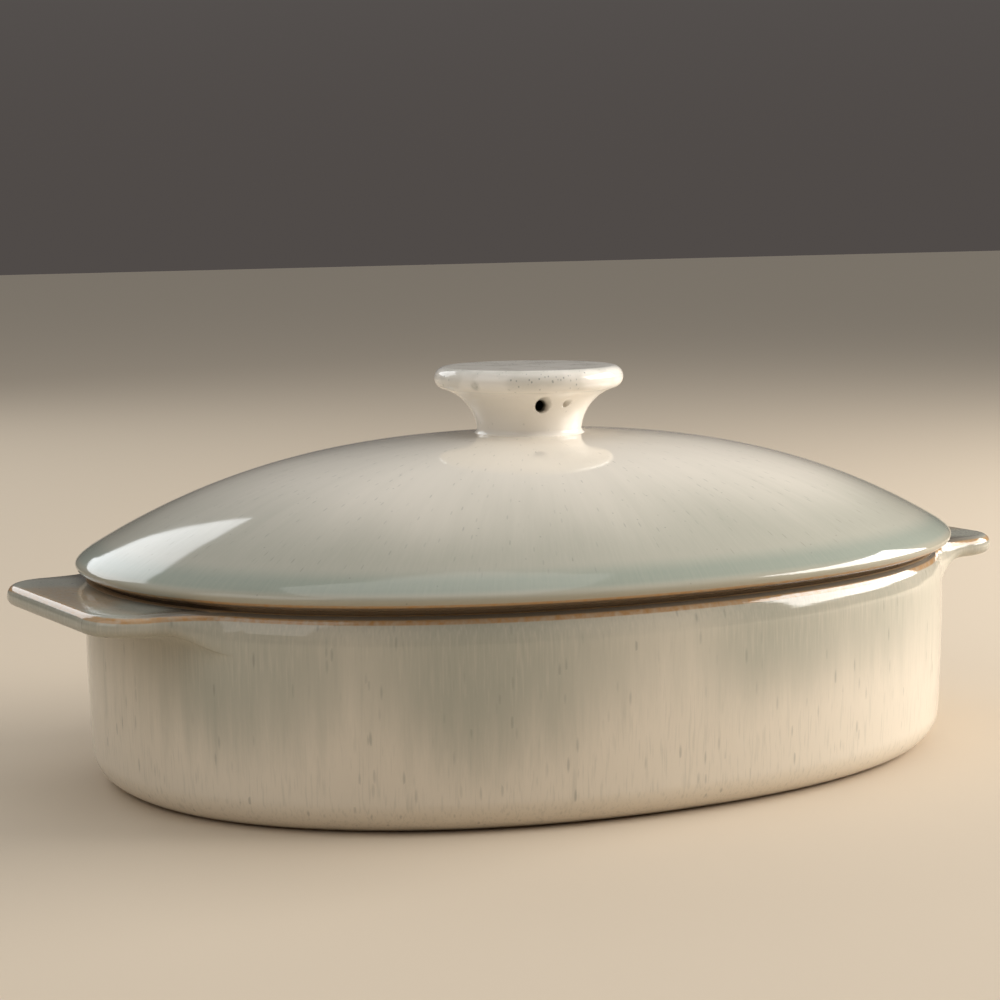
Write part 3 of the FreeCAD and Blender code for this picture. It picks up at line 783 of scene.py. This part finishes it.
def lid_glaze():
    """Cream round the knob, running out into a green-grey band at the edge."""
    g = Glaze("lid_glaze", LID_CREAM)
    flat = g.vector("MULTIPLY", g.place, (1, 1, 0))
    out = g.add("ShaderNodeCombineXYZ", 0.0, 0.0, g.vector("LENGTH", flat)).outputs[0]
    spoke = g.vector("ADD", g.vector("NORMALIZE", flat), out)
    fine, broad = g.noise(spoke, 150), g.noise(spoke, 22)
    level = g.plus(g.z, g.vary(broad, 1 * MM, -1 * MM))
    level = g.plus(level, g.vary(g.noise(g.place, 16, 1.0), 4 * MM, -4 * MM))
    g.cover(g.times(g.step(level, 101 * MM, 73 * MM), g.vary(fine, 0.86, 0.92)), HAZE)
    pool = g.times(g.step(g.z, 74.5 * MM, 70.5 * MM), g.step(g.z, 67.0 * MM, 69.2 * MM))
    g.cover(g.times(pool, g.vary(fine, 0.72, 0.85)), TEAL)
    g.cover(g.times(g.step(g.z, 68.8 * MM, 67.0 * MM), 0.6), EDGE)
    strokes = g.times(g.dashes(4.5 * MM, 0.28 * MM, 1.3 * MM, 0.5), g.step(g.z, 70 * MM, 74 * MM))
    g.cover(g.times(strokes, 0.28), SPECK)
    g.cover(g.times(g.specks(5 * MM, 0.4 * MM, (1, 1, 1)), 0.35), SPECK)
    thin = g.step(g.z, 65.4 * MM, 65.0 * MM)
    g.cover(g.times(thin, g.vary(g.noise(g.place, 500), 0.6, 1.0)), CARAMEL)
    # Painted shade on the lid's underside by its edge, so the slot above the rim reads dark
    g.cover(g.times(g.step(g.z, 64.7 * MM, 64.2 * MM), 0.9), SLOT_SHADE)
    gloss = g.vary(g.noise(g.place, 90), 0.05, 0.09)
    return g.finish(gloss, g.noise(g.place, 45, 1.0), 0.12 * MM)


def knob_glaze():
    """Cream with fine grey speckles, thicker on the disc."""
    g = Glaze("knob_glaze", KNOB_CREAM)
    high = g.step(g.z, KNOB_TOP - 8.5 * MM, KNOB_TOP - 4 * MM)
    cloud = g.noise(g.place, 160)
    crowd = g.times(g.step(g.noise(g.place, 90), 0.46, 0.62), high)
    blotch = g.times(g.blob(BLOTCH, BLOTCH_RADIUS), g.vary(g.noise(g.place, 900), 0.4, 1.0))
    g.cover(g.times(blotch, 0.6), DEEP)
    g.cover(g.times(crowd, 0.25), HAZE)
    small = g.times(g.specks(1.6 * MM, 0.35 * MM, (1, 1, 0.7)), crowd)
    few = g.times(g.specks(3.4 * MM, 0.45 * MM, (1, 1, 0.7)), g.ramp(high, 0.0, 1.0, 0.15, 0.5))
    g.cover(g.most(g.times(small, 0.6), few), SPECK)
    top = g.step(g.z, KNOB_TOP - 1.2 * MM, KNOB_TOP - 0.4 * MM)
    g.cover(g.times(top, g.ramp(cloud, 0.35, 0.65, 0.0, 0.25)), HAZE)
    return g.finish(g.vary(cloud, 0.07, 0.13), g.noise(g.place, 90, 1.0), 0.1 * MM)


# Stage

CAMERA_PLACE = (-0.4016, -0.6937, 0.1727)
CAMERA_YAW = math.radians(29.50)
CAMERA_PITCH = math.radians(6.547)
CAMERA_ROLL = math.radians(-0.682)
CAMERA_LENS = 91.7
CAMERA_SHIFT = -0.0025

AIM = Vector((0, 0, 0.06))
HORIZON = (0.08, 0.07, 0.065)
ZENITH = (0.36, 0.37, 0.38)
FLOOR_SIZE = 12
FLOOR_COLOR = (0.62, 0.52, 0.40)

# Name, bearing and height in degrees (0 is +X, 90 is +Y), distance, width and height, power, colour
LIGHTS = (
    ("key", -17, 21.5, 1.3, (1.16, 0.60), 24, (1.0, 0.96, 0.91)),
    ("window", 103, 26, 1.5, (0.80, 0.64), 3.8, (0.95, 0.98, 1.0)),
    ("fill", -170, 32, 1.6, (1.2, 1.2), 5, (1.0, 0.97, 0.92)),
    ("top", -120, 79, 1.6, (1.3, 1.3), 5, (1.0, 0.98, 0.95)),
)


def add_camera():
    """The camera, turned to the right by yaw, down by pitch and about its own axis by roll."""
    data = bpy.data.cameras.new("camera")
    data.sensor_width = 36
    data.lens = CAMERA_LENS
    data.shift_y = CAMERA_SHIFT
    camera = bpy.data.objects.new("camera", data)
    ahead = Vector((math.sin(CAMERA_YAW), math.cos(CAMERA_YAW), 0)) * math.cos(CAMERA_PITCH)
    ahead.z = -math.sin(CAMERA_PITCH)
    right = Vector((math.cos(CAMERA_YAW), -math.sin(CAMERA_YAW), 0))
    up = right.cross(ahead)
    side = right * math.cos(CAMERA_ROLL) + up * math.sin(CAMERA_ROLL)
    top = up * math.cos(CAMERA_ROLL) - right * math.sin(CAMERA_ROLL)
    turn = Matrix((side, top, -ahead)).transposed()
    camera.matrix_world = Matrix.Translation(CAMERA_PLACE) @ turn.to_4x4()
    bpy.context.collection.objects.link(camera)
    bpy.context.scene.camera = camera


def add_area(name, azimuth, elevation, distance, size, power, color):
    """A soft light that faces the dish from a bearing and a height in degrees."""
    data = bpy.data.lights.new(name, "AREA")
    data.shape = "RECTANGLE"
    data.size, data.size_y = size
    data.energy = power
    data.color = color
    light = bpy.data.objects.new(name, data)
    bearing, height = math.radians(azimuth), math.radians(elevation)
    flat = math.cos(height)
    way = Vector((math.cos(bearing) * flat, math.sin(bearing) * flat, math.sin(height)))
    light.location = AIM + way * distance
    light.rotation_euler = way.to_track_quat("Z", "Y").to_euler()
    bpy.context.collection.objects.link(light)


def add_world(low, high):
    """A plain backdrop, from one colour at the horizon to another overhead."""
    world = bpy.data.worlds.new("studio")
    world.use_nodes = True
    nodes, links = world.node_tree.nodes, world.node_tree.links
    way = nodes.new("ShaderNodeTexCoord")
    split = nodes.new("ShaderNodeSeparateXYZ")
    links.new(way.outputs["Generated"], split.inputs[0])
    ramp = nodes.new("ShaderNodeMapRange")
    ramp.interpolation_type = "SMOOTHSTEP"
    links.new(split.outputs["Z"], ramp.inputs["Value"])
    ramp.inputs["From Min"].default_value = 0.0
    ramp.inputs["From Max"].default_value = 0.8
    mix = nodes.new("ShaderNodeMix")
    mix.data_type = "RGBA"
    links.new(ramp.outputs[0], mix.inputs[0])
    mix.inputs[6].default_value = (*low, 1)
    mix.inputs[7].default_value = (*high, 1)
    links.new(mix.outputs[2], nodes["Background"].inputs["Color"])
    bpy.context.scene.world = world


def add_floor():
    """A plain pale floor, which is stage and not part of the object."""
    bpy.ops.mesh.primitive_plane_add(size=FLOOR_SIZE)
    floor = bpy.context.object
    floor.name = "floor"
    material = bpy.data.materials.new("floor_paint")
    material.use_nodes = True
    shader = material.node_tree.nodes["Principled BSDF"]
    shader.inputs["Base Color"].default_value = (*FLOOR_COLOR, 1)
    shader.inputs["Roughness"].default_value = 0.8
    floor.data.materials.append(material)


def dress(piece, material):
    """Give a piece its one material."""
    piece.data.materials.clear()
    piece.data.materials.append(material)


bpy.context.scene.view_settings.view_transform = "Standard"
dress(make_dish(), dish_glaze())
dress(make_lid(), lid_glaze())
dress(make_knob(), knob_glaze())
add_camera()
add_floor()
add_world(HORIZON, ZENITH)
for light in LIGHTS:
    add_area(*light)
